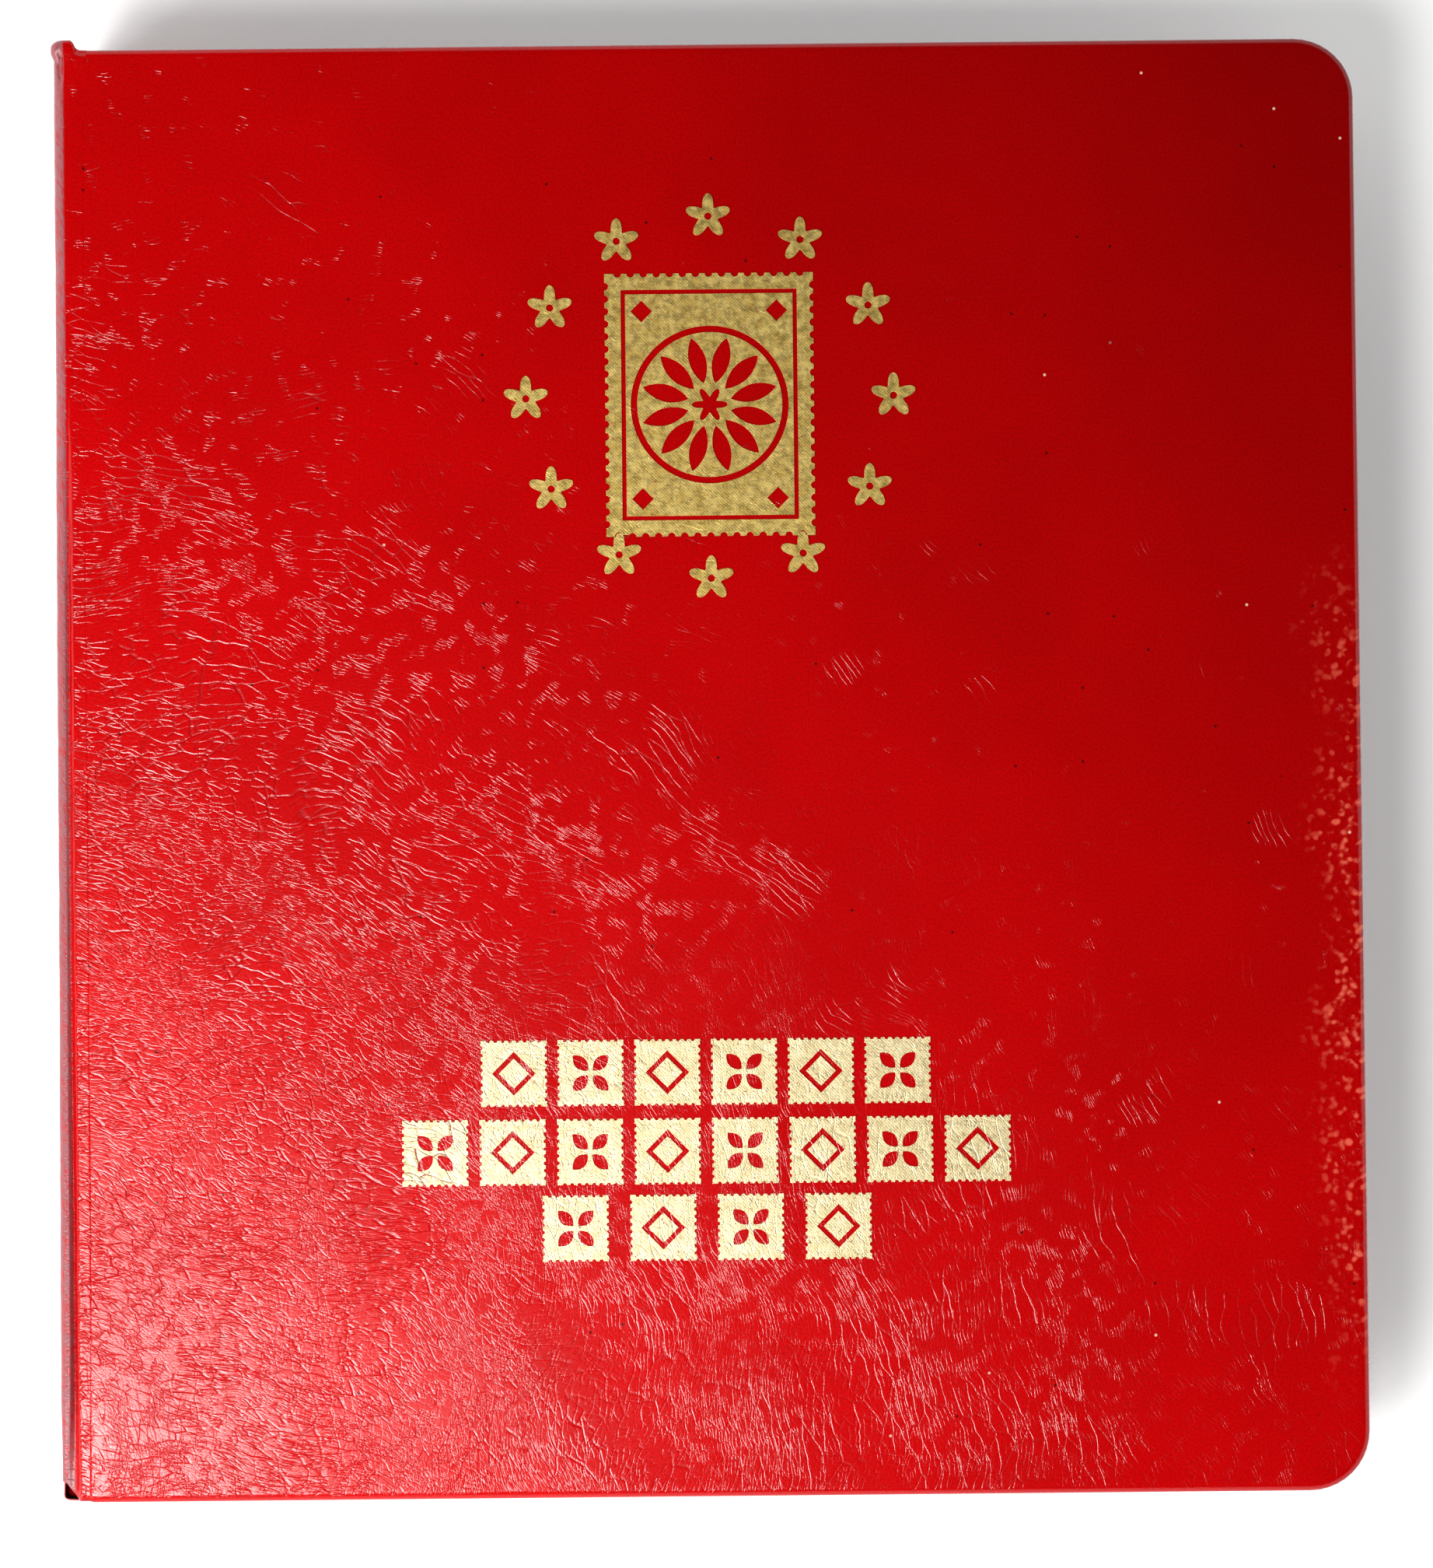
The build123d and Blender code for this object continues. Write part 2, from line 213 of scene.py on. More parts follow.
def leathercloth(name, way):
    n = Net(name)
    p = flat_coords(n, way)
    h, crease, deep = crush(n, p, way)
    x, y, z = n.split(n.coords())
    # pebbled band along the fore edge, rubbed, and painted with sheen on its pebble tops
    edge = n.span(n.math("ADD", x, n.math("MULTIPLY", n.math("SUBTRACT", n.noise(p, 40.0, 2.0), 0.5), 0.026)), 0.1190, 0.1300)
    edge = n.math("MULTIPLY", edge, n.math("MULTIPLY", n.span(y, 0.050, 0.0), n.span(y, -0.130, -0.100)))
    pebble = n.voronoi(n.vec("ADD", p, n.vec("SCALE", n.noise(p, 500.0, 2.0, colour=True), scale=0.0008)), 620.0, feature="SMOOTH_F1")
    h = n.math("MULTIPLY_ADD", n.math("MULTIPLY", pebble, edge), -0.16, h)
    tone = n.noise(p, 22.0, 3.0, 0.55)
    # painted light: the red is paler towards the lower left and darker towards the upper right, standing in for the
    # fall of light across the cover
    painted_light_falloff = n.span(n.math("ADD", n.math("MULTIPLY", x, -1.0), n.math("MULTIPLY", y, -0.85)), -0.25, 0.17, smooth=False)
    base = n.mix(painted_light_falloff, (0.205, 0.0, 0.0006, 1), (0.590, 0.0, 0.0018, 1))
    base = n.mix(n.span(tone, 0.3, 0.7, 0.0, 0.14), base, (0.10, 0.0, 0.0, 1))
    base = n.mix(n.span(n.noise(p, 2100.0, 2.0, 0.6), 0.35, 0.65, 0.0, 0.24), base, (0.06, 0.0, 0.0, 1))
    # painted shade: the base colour is darkened in the creases
    base = n.mix(n.math("MULTIPLY", crease, 0.45), base, (0.19, 0.0, 0.0006, 1))
    # the pebble tops in the band are painted paler orange-pink: partly rubbed wear, partly painted sheen
    rub_and_sheen = n.math("MULTIPLY", n.math("MULTIPLY", edge, n.span(pebble, 0.45, 0.15)), n.span(n.noise(p, 300.0, 3.0), 0.45, 0.60))
    base = n.mix(n.math("MULTIPLY", rub_and_sheen, 0.75), base, (0.62, 0.13, 0.08, 1))
    # dust and pinholes: scarce dots, most of them dark
    dot_d = n.voronoi(p, 150.0, feature="F1")
    dot_c = n.split(n.voronoi(p, 150.0, feature="F1", out="Color"))
    dot = n.math("MULTIPLY", n.span(dot_d, 0.030, 0.055, 1.0, 0.0), n.span(dot_c[0], 0.945, 0.95))
    pale = n.span(dot_c[1], 0.80, 0.82)
    base = n.mix(n.math("MULTIPLY", dot, 0.8), base, n.mix(pale, (0.015, 0.003, 0.003, 1), (0.60, 0.45, 0.35, 1)))
    rough = n.math("MULTIPLY_ADD", n.noise(p, 70.0, 2.0), 0.03, 0.165)
    rough = n.math("MULTIPLY_ADD", crease, 0.08, rough)
    if way == "joint":
        # the shoulder of the spine is painted pale as painted sheen, in fine streaks that run with it
        streak = n.noise(n.vec("MULTIPLY", n.coords(), (1.0, 0.05, 1.0)), 3600.0, 3.0, 0.6)
        hatch = n.noise(n.join(n.math("ADD", x, n.math("MULTIPLY", y, 0.5)), n.math("MULTIPLY", y, 0.3)), 1500.0, 2.0)
        painted_sheen = n.span(n.math("ADD", x, n.math("MULTIPLY", n.math("ADD", y, -0.10), 0.0012)), -0.12870, -0.12925)
        painted_sheen = n.math("MULTIPLY", painted_sheen, n.span(n.math("ADD", streak, hatch), 0.75, 1.10, 0.35, 0.95))
        base = n.mix(painted_sheen, base, (0.27, 0.10, 0.11, 1))
        rough = n.math("MULTIPLY_ADD", painted_sheen, 0.15, rough)
    n.set(Base_Color=base, Roughness=rough, IOR=1.5, Normal=n.bump(h, 0.001, 1.0))
    return n.mat


def foil_material(name, lo, hi):
    n = Net(name)
    p = flat_coords(n, "cover")
    h, crease, deep = crush(n, p, "cover")
    x, y, _ = n.split(p)
    weave = n.math("MULTIPLY", n.math("SINE", n.math("MULTIPLY", x, 9500.0)), n.math("SINE", n.math("MULTIPLY", y, 9500.0)))
    h = n.math("MULTIPLY_ADD", weave, 0.004, h)
    h = n.math("MULTIPLY_ADD", n.noise(p, 1500.0, 3.0, 0.6), 0.035, h)
    crack = n.math("MAXIMUM", n.span(crease, 0.50, 0.72), n.span(n.noise(p, 1250.0, 3.0, 0.7), 0.625, 0.675))
    crack = n.math("MULTIPLY", crack, 0.9)
    gold = n.mix(n.span(n.noise(p, 380.0, 3.0), 0.3, 0.7), lo, hi)
    gold = n.mix(crack, gold, (0.22, 0.004, 0.003, 1))
    n.set(Base_Color=gold, Metallic=n.math("SUBTRACT", 1.0, crack), Roughness=n.span(n.noise(p, 700.0, 3.0), 0.3, 0.7, 0.36, 0.48), Normal=n.bump(h, 0.001, 1.0))
    return n.mat


def nickel_material(name):
    n = Net(name)
    p = n.coords()
    x, y, z = n.split(p)
    brush = n.noise(n.join(n.math("MULTIPLY", x, 1.0), n.math("MULTIPLY", y, 0.06), z), 6000.0, 3.0, 0.6)
    haze = n.noise(p, 140.0, 4.0, 0.6)
    pits = n.span(n.voronoi(p, 700.0, feature="F1", dims="3D"), 0.10, 0.16, 1.0, 0.0)
    n.set(Base_Color=n.mix(n.math("MULTIPLY", pits, 0.35), n.mix(haze, (0.62, 0.61, 0.58, 1), (0.80, 0.79, 0.76, 1)), (0.25, 0.2, 0.15, 1)),
          Metallic=1.0, Roughness=n.math("MULTIPLY_ADD", haze, 0.16, n.math("MULTIPLY", brush, 0.12)), Normal=n.bump(n.math("SUBTRACT", brush, pits), 0.00002, 0.6))
    return n.mat


def board_material(name):
    n = Net(name)
    p = n.coords()
    fibre = n.noise(n.vec("MULTIPLY", p, (1.0, 1.0, 6.0)), 700.0, 4.0, 0.7)
    n.set(Base_Color=n.mix(fibre, (0.25, 0.22, 0.17, 1), (0.44, 0.40, 0.33, 1)), Roughness=0.9, Normal=n.bump(fibre, 0.0002, 0.8))
    return n.mat


def endpaper_material(name):
    n = Net(name)
    p = n.coords()
    x, y, z = n.split(p)
    laid = n.math("SINE", n.math("MULTIPLY", y, 5200.0))
    fibre = n.noise(p, 900.0, 4.0, 0.65)
    cloud = n.noise(p, 40.0, 3.0)
    h = n.math("MULTIPLY_ADD", laid, 0.10, fibre)
    n.set(Base_Color=n.mix(cloud, (0.40, 0.012, 0.016, 1), (0.52, 0.022, 0.024, 1)), Roughness=n.span(fibre, 0.3, 0.7, 0.48, 0.66), Normal=n.bump(h, 0.00005, 0.8))
    return n.mat


def film_material(name):
    n = Net(name)
    p = n.coords()
    ripple = n.noise(n.vec("MULTIPLY", p, (1.0, 0.5, 1.0)), 60.0, 3.0, 0.5)
    scratch = n.span(n.noise(n.vec("MULTIPLY", p, (1.0, 9.0, 1.0)), 500.0, 3.0, 0.7), 0.62, 0.72)
    h = n.math("MULTIPLY_ADD", scratch, 0.03, ripple)
    n.set(Base_Color=n.mix(ripple, (0.80, 0.84, 0.86, 1), (0.90, 0.92, 0.93, 1)), Roughness=n.math("MULTIPLY_ADD", scratch, 0.25, n.math("MULTIPLY_ADD", ripple, 0.06, 0.05)),
          IOR=1.5, Alpha=n.math("MULTIPLY_ADD", scratch, 0.12, n.math("MULTIPLY_ADD", ripple, 0.06, 0.09)), Normal=n.bump(h, 0.0012, 0.5))
    n.bsdf.inputs["Specular IOR Level"].default_value = 0.6
    n.mat.blend_method = "BLEND" if hasattr(n.mat, "blend_method") else None
    return n.mat


def card_material(name):
    n = Net(name)
    p = n.coords()
    fibre = n.noise(p, 1400.0, 4.0, 0.7)
    cloud = n.noise(p, 50.0, 2.0)
    n.set(Base_Color=n.mix(n.math("MULTIPLY", fibre, cloud), (0.012, 0.012, 0.014, 1), (0.05, 0.05, 0.054, 1)), Roughness=n.span(fibre, 0.3, 0.7, 0.62, 0.82), Normal=n.bump(fibre, 0.00006, 0.9))
    return n.mat


def envelope_material(name):
    """Paper with a printed ornament at the left and cancelling waves at the stamp. UV is in metres from the lower left corner."""
    n = Net(name)
    uv = n.node("ShaderNodeUVMap", uv_map="face").outputs[0]
    u, v, _ = n.split(uv)
    p = n.coords()
    fibre = n.noise(p, 1100.0, 4.0, 0.7)
    paper = n.mix(n.noise(p, 35.0, 3.0), (0.78, 0.74, 0.64, 1), (0.86, 0.83, 0.75, 1))
    paper = n.mix(n.math("MULTIPLY", fibre, 0.25), paper, (0.62, 0.57, 0.46, 1))
    # ornament: three rings and spokes
    du, dv = n.math("SUBTRACT", u, 0.036), n.math("SUBTRACT", v, 0.046)
    r = n.math("SQRT", n.math("ADD", n.math("MULTIPLY", du, du), n.math("MULTIPLY", dv, dv)))
    ang = n.math("ARCTAN2", dv, du)
    ring = None
    for rad, half in ((0.0260, 0.0008), (0.0230, 0.0003), (0.0105, 0.0005)):
        one = n.span(n.math("ABSOLUTE", n.math("SUBTRACT", r, rad)), half, half + 0.0002, 1.0, 0.0)
        ring = one if ring is None else n.math("MAXIMUM", ring, one)
    petal = n.math("MULTIPLY_ADD", n.math("ABSOLUTE", n.math("COSINE", n.math("MULTIPLY", ang, 6.0))), 0.0085, 0.0122)
    leaf = n.math("MULTIPLY", n.math("LESS_THAN", r, petal), n.math("GREATER_THAN", r, 0.0120))
    inked = n.math("MULTIPLY", n.math("MAXIMUM", ring, n.math("MULTIPLY", leaf, 0.75)), n.span(fibre, 0.25, 0.5, 0.55, 1.0))
    paper = n.mix(inked, paper, (0.045, 0.085, 0.24, 1))
    # cancelling waves across the stamp
    wave = n.math("ABSOLUTE", n.math("SINE", n.math("MULTIPLY", n.math("ADD", v, n.math("MULTIPLY", n.math("SINE", n.math("MULTIPLY", u, 480.0)), 0.0007)), 900.0)))
    wave = n.math("MULTIPLY", n.span(wave, 0.10, 0.22, 1.0, 0.0), n.math("MULTIPLY", n.math("GREATER_THAN", u, 0.098), n.math("LESS_THAN", u, 0.150)))
    wave = n.math("MULTIPLY", wave, n.math("MULTIPLY", n.math("GREATER_THAN", v, 0.066), n.math("LESS_THAN", v, 0.083)))
    paper = n.mix(n.math("MULTIPLY", wave, 0.8), paper, (0.03, 0.03, 0.035, 1))
    n.set(Base_Color=paper, Roughness=n.span(fibre, 0.3, 0.7, 0.60, 0.75), Normal=n.bump(fibre, 0.00005, 0.9))
    return n.mat


def stamp_material(name, ink):
    n = Net(name)
    uv = n.node("ShaderNodeUVMap", uv_map="face").outputs[0]
    u, v, _ = n.split(uv)
    au, av = n.math("ABSOLUTE", u), n.math("ABSOLUTE", v)
    inside = n.math("MULTIPLY", n.math("LESS_THAN", au, 0.0118), n.math("LESS_THAN", av, 0.0148))
    r = n.math("SQRT", n.math("ADD", n.math("MULTIPLY", u, u), n.math("MULTIPLY", v, v)))
    ang = n.math("ARCTAN2", v, u)
    rose = n.math("LESS_THAN", r, n.math("MULTIPLY_ADD", n.math("ABSOLUTE", n.math("COSINE", n.math("MULTIPLY", ang, 4.0))), 0.0045, 0.0040))
    hatch = n.span(n.math("SINE", n.math("MULTIPLY", n.math("ADD", u, v), 9000.0)), -0.3, 0.3, 0.75, 1.0)
    fibre = n.noise(n.coords(), 1200.0, 3.0)
    dark = tuple(c * 0.45 for c in ink[:3]) + (1,)
    art = n.mix(rose, n.mix(hatch, (0.80, 0.78, 0.72, 1), ink), n.mix(hatch, ink, dark))
    n.set(Base_Color=n.mix(inside, (0.83, 0.81, 0.75, 1), art), Roughness=n.span(fibre, 0.3, 0.7, 0.45, 0.6), Normal=n.bump(fibre, 0.00004, 0.8))
    return n.mat


def floor_material(name):
    n = Net(name)
    p = n.coords()
    n.set(Base_Color=n.mix(n.noise(p, 6.0, 3.0), (0.90, 0.90, 0.895, 1), (0.93, 0.93, 0.925, 1)), Roughness=0.85, Normal=n.bump(n.noise(p, 900.0, 2.0), 0.00005, 0.3))
    n.bsdf.inputs["Specular IOR Level"].default_value = 0.1
    return n.mat


M_COVER = leathercloth("red_leathercloth_cover", "cover")
M_SPINE = leathercloth("red_leathercloth_spine", "spine")
M_JOINT = leathercloth("red_leathercloth_joint", "joint")
# the panel foil gets a paler, creamier tint than the emblem foil: a painted highlight, a lit copy of the same gold foil
M_EMBLEM = foil_material("gold_foil_emblem", (0.56, 0.40, 0.12, 1), (0.72, 0.55, 0.20, 1))
M_PANEL_PAINTED_LIT = foil_material("gold_foil_panels", (0.62, 0.51, 0.29, 1), (0.74, 0.63, 0.39, 1))
M_NICKEL = nickel_material("nickel")
M_BOARD = board_material("grey_board")
M_END = endpaper_material("endpaper")
M_FILM = film_material("clear_film")
M_BLACK_CARD_AND_SHADE = card_material("black_card")
M_ENV = envelope_material("envelope_paper")
INKS = ((0.10, 0.22, 0.42, 1), (0.42, 0.07, 0.06, 1), (0.08, 0.28, 0.14, 1), (0.40, 0.22, 0.05, 1))
M_STAMP = [stamp_material(f"stamp_print_{i + 1}", ink) for i, ink in enumerate(INKS)]


# ------------------------------------------------------------------ mesh helpers
def make(name, verts, faces, mats, smooth=True, face_mat=None, uv=None):
    me = bpy.data.meshes.new(name)
    me.from_pydata([tuple(v) for v in verts], [], faces)
    for m in (mats if isinstance(mats, (list, tuple)) else [mats]):
        me.materials.append(m)
    if face_mat:
        me.polygons.foreach_set("material_index", face_mat)
    me.polygons.foreach_set("use_smooth", [smooth] * len(me.polygons))
    if uv is not None:
        layer = me.uv_layers.new(name="face")
        for loop in me.loops:
            layer.data[loop.index].uv = uv[loop.vertex_index]
    me.validate()
    me.update()
    ob = bpy.data.objects.new(name, me)
    bpy.context.scene.collection.objects.link(ob)
    return ob


def outward(ob):
    import bmesh
    bm = bmesh.new()
    bm.from_mesh(ob.data)
    bmesh.ops.recalc_face_normals(bm, faces=bm.faces)
    bm.to_mesh(ob.data)
    bm.free()
    ob.data.update()
    return ob


def corner_arc(cx, cy, r, a0, a1, k):
    return [(cx + r * math.cos(math.radians(a0 + (a1 - a0) * i / k)), cy + r * math.sin(math.radians(a0 + (a1 - a0) * i / k)),
             math.cos(math.radians(a0 + (a1 - a0) * i / k)), math.sin(math.radians(a0 + (a1 - a0) * i / k))) for i in range(k + 1)]


def outline(x0, x1, y0, y1, radii, nx, ny, k):
    """Closed loop with normals, started in the middle of the lower left corner, split at the middles of the corners into four sides."""
    rbl, rbr, rtr, rtl = radii
    bl = corner_arc(x0 + rbl, y0 + rbl, rbl, 180, 270, 2 * k)
    br = corner_arc(x1 - rbr, y0 + rbr, rbr, 270, 360, 2 * k)
    tr = corner_arc(x1 - rtr, y1 - rtr, rtr, 0, 90, 2 * k)
    tl = corner_arc(x0 + rtl, y1 - rtl, rtl, 90, 180, 2 * k)

    def straight(a, b, count, nrm):
        return [(a[0] + (b[0] - a[0]) * i / count, a[1] + (b[1] - a[1]) * i / count, nrm[0], nrm[1]) for i in range(1, count)]
    bottom = bl[k:] + straight(bl[-1], br[0], nx, (0, -1)) + br[:k + 1]
    right = br[k:] + straight(br[-1], tr[0], ny, (1, 0)) + tr[:k + 1]
    top = tr[k:] + straight(tr[-1], tl[0], nx, (0, 1)) + tl[:k + 1]
    left = tl[k:] + straight(tl[-1], bl[0], ny, (-1, 0)) + bl[:k + 1]
    return bottom, right, top, left


def slab(x0, x1, y0, y1, radii, thick, r_out, r_in, turn, recess, nx, ny, k=5):
    """A cloth-covered board as (a, b, depth) points: outer face at depth 0, rounded edges, turned-in cloth on the inside round a sunk panel."""
    ins = r_out + 0.25
    bottom, right, top, left = outline(x0 + ins, x1 - ins, y0 + ins, y1 - ins, [max(r - ins, 0.25) for r in radii], nx, ny, k)
    B, R, T, L = bottom, right, top[::-1], left[::-1]
    nu, nv = len(B), len(R)
    verts, faces = [], []
    for j in range(nv):
        t = j / (nv - 1)
        for i in range(nu):
            s = i / (nu - 1)
            p = []
            for c in (0, 1):
                side = (1 - t) * B[i][c] + t * T[i][c] + (1 - s) * L[j][c] + s * R[j][c]
                corner = (1 - s) * (1 - t) * B[0][c] + s * (1 - t) * B[-1][c] + (1 - s) * t * T[0][c] + s * t * T[-1][c]
                p.append(side - corner)
            verts.append((p[0], p[1], 0.0))
    for j in range(nv - 1):
        for i in range(nu - 1):
            a = j * nu + i
            faces.append((a, a + 1, a + nu + 1, a + nu))
    loop_pts = bottom[:-1] + right[:-1] + top[:-1] + left[:-1]
    loop = list(range(nu - 1)) + [j * nu + nu - 1 for j in range(nv - 1)] + [(nv - 1) * nu + i for i in range(nu - 1, 0, -1)] + [j * nu for j in range(nv - 1, 0, -1)]
    m = len(loop)
    prof = [(0.25 + r_out * math.sin(math.radians(a)), r_out * (1 - math.cos(math.radians(a)))) for a in (15, 30, 45, 60, 75, 90)]
    prof += [(ins, thick - r_in - 0.2)]
    prof += [(ins - r_in * (1 - math.cos(math.radians(a))), thick - r_in * (1 - math.sin(math.radians(a)))) for a in (0, 30, 60, 90)]
    prof += [(ins - 2.5, thick), (ins - turn * 0.5, thick + 0.0), (ins - turn + 0.5, thick), (ins - turn + 0.12, thick - 0.08), (ins - turn, thick - recess)]
    n_round = len(prof)
    prev = loop
    for q, (off, dep) in enumerate(prof):
        ring = []
        for i in range(m):
            x, y, ax, ay = loop_pts[i]
            if off < 0:       # inside the outline the corners are mitred
                xi = min(max(x + ax * off, x0 + (ins - off)), x1 - (ins - off))
                yi = min(max(y + ay * off, y0 + (ins - off)), y1 - (ins - off))
                px, py = xi, yi
            else:
                px, py = x + ax * off, y + ay * off
            ring.append(len(verts))
            verts.append((px, py, dep))
        for i in range(m):
            a, b = i, (i + 1) % m
            faces.append((prev[a], ring[a], ring[b], prev[b]))
        prev = ring
    faces.append(tuple(prev))
    return verts, faces, nu * nv


# ------------------------------------------------------------------ measures, from the frame (millimetres)
def mm_box(node):
    lo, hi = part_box(node)
    return [v / MM for v in lo], [v / MM for v in hi]


FLO, FHI = mm_box("front_cover_skin")
BLO, BHI = mm_box("back_cover_skin")
SLO, SHI = mm_box("spine_skin")
TOP = FHI[2]
COVER_T = FHI[2] - FLO[2]
MID = TOP / 2
ELO, EHI = mm_box("foil_emblem")
PLO, PHI = mm_box("foil_panels")


def calm(x, y):
    """1 away from the blocked foil, 0 on it, so that the foil lies flat."""
    out = 1.0
    for lo, hi in ((ELO, EHI), (PLO, PHI)):
        d = max(lo[0] - x, x - hi[0], lo[1] - y, y - hi[1])
        out = min(out, max(0.0, min(1.0, d / 12.0)))
    return out


def sway(x, y, seed):
    p = Vector((x, y, seed))
    return 0.08 * noise.noise(p / 55.0) + 0.020 * noise.noise(p / 17.0) + 0.006 * noise.noise(p / 6.0)


def cover(name, lo, hi, front):
    verts, faces, n_top = slab(lo[0], hi[0], lo[1], hi[1], (1.9, 12.0, 12.0, 1.9), COVER_T, 1.35, 0.5, 15.2, 0.35, 150, 170)
    out = []
    for k, (x, y, d) in enumerate(verts):
        z = 0.0
        if d < COVER_T * 0.5:
            edge = min(hi[0] - x, y - lo[1], hi[1] - y)       # the joint cloth lies over the fourth side
            f = max(0.0, min(1.0, edge / 9.0))
            z = -abs(0.10 * f) + sway(x, y, 3.0 if front else 60.0) * f * (0.12 + 0.88 * (calm(x, y) if front else 1.0))
            z = min(z, 0.0 if not front else 0.04) if edge > 2 else z
        if front:
            out.append((x * MM, y * MM, (TOP - d + z) * MM))
        else:
            out.append((x * MM, y * MM, max(0.0, d - z) * MM))
    return outward(make(name, out, faces, M_COVER))


front_cloth = cover("front_cloth", FLO, FHI, True)
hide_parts("front_cover_skin")
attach(front_cloth, "front_cover")
back_cloth = cover("back_cloth", BLO, BHI, False)
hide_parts("back_cover_skin")
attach(back_cloth, "back_cover")

# ------------------------------------------------------------------ spine: a slab in (height, length), bent to the arc
SPINE_R, SPINE_CX, SPINE_T = 150.0, 19.0, 2.5
APEX = SLO[0]
SPINE_CX = APEX + SPINE_R
sv, sf, _ = slab(SLO[2], SHI[2], SLO[1], SHI[1], (0.9, 0.9, 0.9, 0.9), SPINE_T, 0.85, 0.4, 10.2, 0.25, 26, 150, 3)
sp = []
for a, b, d in sv:
    f = max(0.0, min(1.0, min(a - SLO[2], SHI[2] - a, b - SLO[1], SHI[1] - b) / 5.0))
    lift = (-0.08 + sway(a, b, 120.0) * 0.8) * f if d < 1.2 else 0.0
    lift = min(lift, 0.0)
    # head cap offset, left at zero
    cap = 0.0
    r = SPINE_R - d + lift + cap
    ang = (a - MID) / SPINE_R
    sp.append(((SPINE_CX - r * math.cos(ang)) * MM, b * MM, (MID + r * math.sin(ang)) * MM))
spine_cloth = outward(make("spine_cloth", sp, sf, M_SPINE))
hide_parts("spine_skin")
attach(spine_cloth, "spine")


# ------------------------------------------------------------------ cloth joints
def spline(pts, count):
    """Catmull-Rom through the points, evenly stepped."""
    out = []
    p = [pts[0]] + list(pts) + [pts[-1]]
    seg = len(pts) - 1
    for q in range(count + 1):
        t = q / count * seg
        i = min(int(t), seg - 1)
        f = t - i
        a, b, c, d = p[i], p[i + 1], p[i + 2], p[i + 3]
        out.append(tuple(0.5 * (2 * b[k] + (c[k] - a[k]) * f + (2 * a[k] - 5 * b[k] + 4 * c[k] - d[k]) * f * f + (3 * b[k] - a[k] - 3 * c[k] + d[k]) * f ** 3) for k in range(2)))
    return out


def lerp_path(a, b, f):
    return [(p[0] + (q[0] - p[0]) * f, p[1] + (q[1] - p[1]) * f) for p, q in zip(a, b)]


SX = SPINE_CX - math.sqrt(SPINE_R ** 2 - (SHI[2] - MID) ** 2)       # outer face of the spine at its end
# outer line of the joint from the spine to the board: at the head, halfway, and at the foot
LEVEL = [(-126.6, 49.89), (-125.9, 49.89), (-125.0, 49.88), (-124.2, 49.6)]        # over the edge of the board, then under its cloth
HEADP = [(SX, 43.6), (-130.35, 45.2), (-131.0, 46.6), (-131.05, 47.9), (-130.6, 48.9), (-129.9, 49.5), (-129.2, 49.75), (-128.8, 49.80), (-128.4, 49.84), (-128.0, 49.86), (-127.5, 49.88), (-127.0, 49.89)] + LEVEL
MIDP = [(SX, 43.6), (-130.4, 45.2), (-131.1, 46.6), (-131.15, 47.8), (-130.7, 48.7), (-130.0, 49.2), (-129.4, 49.35), (-128.95, 49.0), (-128.5, 49.1), (-128.05, 49.6), (-127.7, 49.84), (-127.2, 49.89)] + LEVEL
LOWP = [(SX, 43.6), (-130.5, 45.2), (-131.25, 46.6), (-131.35, 47.6), (-130.9, 48.4), (-130.2, 48.85), (-129.4, 49.0), (-129.0, 48.4), (-128.45, 47.95), (-128.0, 48.9), (-127.7, 49.7), (-127.3, 49.88)] + LEVEL
FOOTP = [(SX, 43.6), (-130.5, 44.6), (-131.2, 45.4), (-131.3, 46.1), (-131.05, 46.6), (-130.5, 46.9), (-129.9, 47.0), (-129.3, 47.0), (-128.6, 47.1), (-128.0, 47.9), (-127.6, 49.4), (-127.2, 49.86)] + LEVEL
Y0, Y1 = SLO[1], SHI[1]


def smooth(f):
    f = max(0.0, min(1.0, f))
    return f * f * (3 - 2 * f)


def joint_line(y):
    if y > 20:
        base = lerp_path(MIDP, HEADP, smooth((y - 20) / 75.0))
    elif y > -125:
        base = lerp_path(LOWP, MIDP, smooth((y + 125) / 120.0))
    else:
        base = lerp_path(FOOTP, LOWP, smooth((y + 143) / 18.0))
    return base


